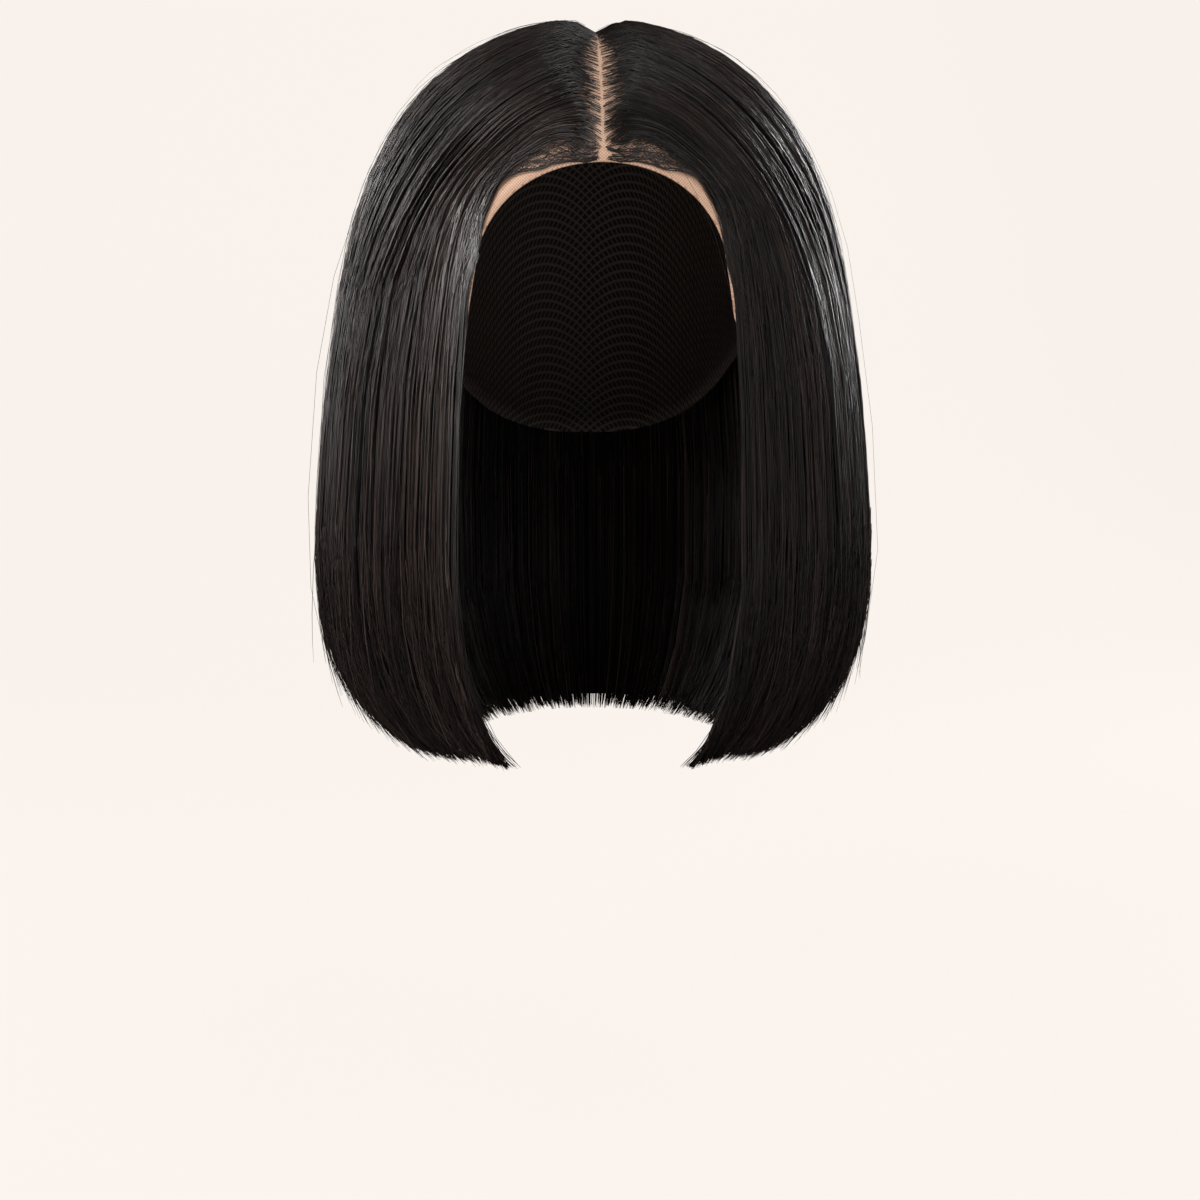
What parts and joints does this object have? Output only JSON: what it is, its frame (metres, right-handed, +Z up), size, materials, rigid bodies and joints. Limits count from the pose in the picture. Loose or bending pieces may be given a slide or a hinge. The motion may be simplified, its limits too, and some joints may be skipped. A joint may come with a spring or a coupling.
{
  "type": "bob wig",
  "caption": "Chin-length straight bob wig with a centre parting, on a lace-front cap, in the form that it has when worn.",
  "frame": {"origin": "the point of the cap's inside where the top of the head sits", "axes": "+Z up, the face opening towards -Y, the wearer's left towards +X"},
  "size_m": [0.24, 0.2099, 0.3038],
  "materials": {
    "hair": "straight near-black brown hair with a soft sheen",
    "under_hair": "the same hair in the shade of the top layer",
    "lace": "sheer skin-toned net",
    "cap_net": "matt dark stretch net"
  },
  "bodies": {
    "root": {"cap_net": "cap_net", "lace_front": "lace", "hair_front_left": "hair", "hair_front_right": "hair", "hair_temple_left": "hair", "hair_temple_right": "hair", "hair_ear_left": "hair", "hair_ear_right": "hair", "hair_nape_side_left": "hair", "hair_nape_side_right": "hair", "hair_back_left": "hair", "hair_back_right": "hair", "under_hair_side_left": "under_hair", "under_hair_side_right": "under_hair", "under_hair_back_left": "under_hair", "under_hair_back_right": "under_hair"}
  },
  "joints": []
}
